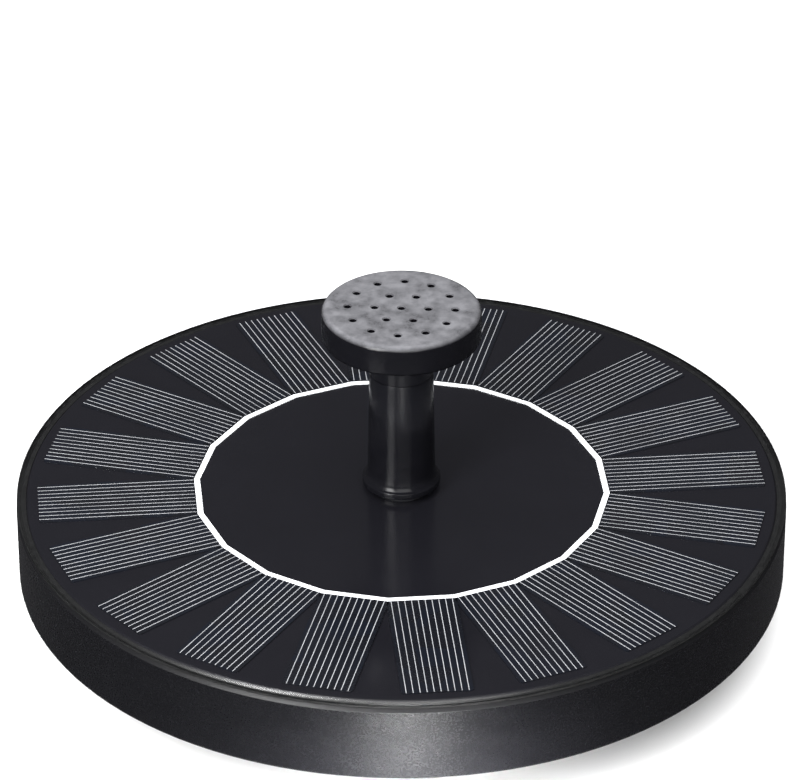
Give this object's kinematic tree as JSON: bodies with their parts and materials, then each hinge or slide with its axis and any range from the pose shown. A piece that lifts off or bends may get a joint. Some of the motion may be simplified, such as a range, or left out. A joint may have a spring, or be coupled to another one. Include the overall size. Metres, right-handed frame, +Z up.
{
  "type": "fountain submersible pump",
  "caption": "Round floating solar fountain: a panel-topped buoyant disc with a submersible pump in its centre well, a push-on riser and a flat spray head.",
  "frame": {"origin": "centre of the strainer cap's underside, which the object stands on", "axes": "+Z up along the riser; the motor is offset along +X"},
  "size_m": [0.16, 0.16, 0.0722],
  "materials": {
    "shell_plastic": "satin, fine grain",
    "foam": "closed-cell foam",
    "seal_rubber": "matte",
    "clear_cover": "clear, glossy",
    "tray_plastic": "satin black",
    "silicon": "dark, anti-reflection coated",
    "white_ribbon": "white",
    "solder": "solder",
    "red_sleeve": "smooth insulation",
    "black_sleeve": "smooth insulation",
    "housing_plastic": "moulded black",
    "screw_steel": "stainless",
    "lamination_steel": "stacked laminations",
    "copper_wire": "enamelled copper",
    "circuit_board": "green solder mask",
    "chip_plastic": "moulded package",
    "resin": "cast resin",
    "shaft_steel": "ground",
    "bush_plastic": "bearing plastic",
    "impeller_plastic": "moulded",
    "magnet": "sintered ferrite",
    "strainer_plastic": "satin",
    "nozzle_plastic": "semi-gloss black"
  },
  "bodies": {
    "float_body": {"float_shell": "shell_plastic", "float_foam": "foam", "rim_seal": "seal_rubber", "panel_cover": "clear_cover", "panel_tray": "tray_plastic", "solar_cells": "silicon", "bus_ring": "white_ribbon", "solder_pads": "solder", "lead_red": "red_sleeve", "lead_black": "black_sleeve", "pump_housing": "housing_plastic", "flange_gasket": "seal_rubber", "flange_screws": "screw_steel", "spout_seal": "seal_rubber", "spigot_oring": "seal_rubber", "stator_core": "lamination_steel", "stator_coils": "copper_wire", "driver_board": "circuit_board", "board_parts": "chip_plastic", "potting": "resin", "shaft": "shaft_steel", "rear_bush": "bush_plastic", "front_bush": "bush_plastic", "thrust_washers": "bush_plastic", "volute_cover": "housing_plastic", "cover_screws": "screw_steel"},
    "pump_rotor": {"impeller": "impeller_plastic", "rotor_magnet": "magnet"},
    "strainer": {"strainer_cap": "strainer_plastic"},
    "riser": {"riser_tube": "nozzle_plastic"},
    "spray_head": {"nozzle_cup": "nozzle_plastic", "nozzle_cap": "nozzle_plastic"}
  },
  "joints": [
    {"name": "impeller_spin", "type": "hinge", "parent": "float_body", "child": "pump_rotor", "pos_m": [0.018, 0, 0.012], "axis": [0, 0, 1], "continuous": true},
    {"name": "strainer_twist", "type": "hinge", "parent": "float_body", "child": "strainer", "pos_m": [0, 0, 0.011], "axis": [0, 0, 1], "range_deg": [0, 30]},
    {"name": "riser_lift", "type": "slide", "parent": "float_body", "child": "riser", "axis": [0, 0, 1], "range_m": [0, 0.012]},
    {"name": "head_lift", "type": "slide", "parent": "riser", "child": "spray_head", "axis": [0, 0, 1], "range_m": [0, 0.008]}
  ]
}
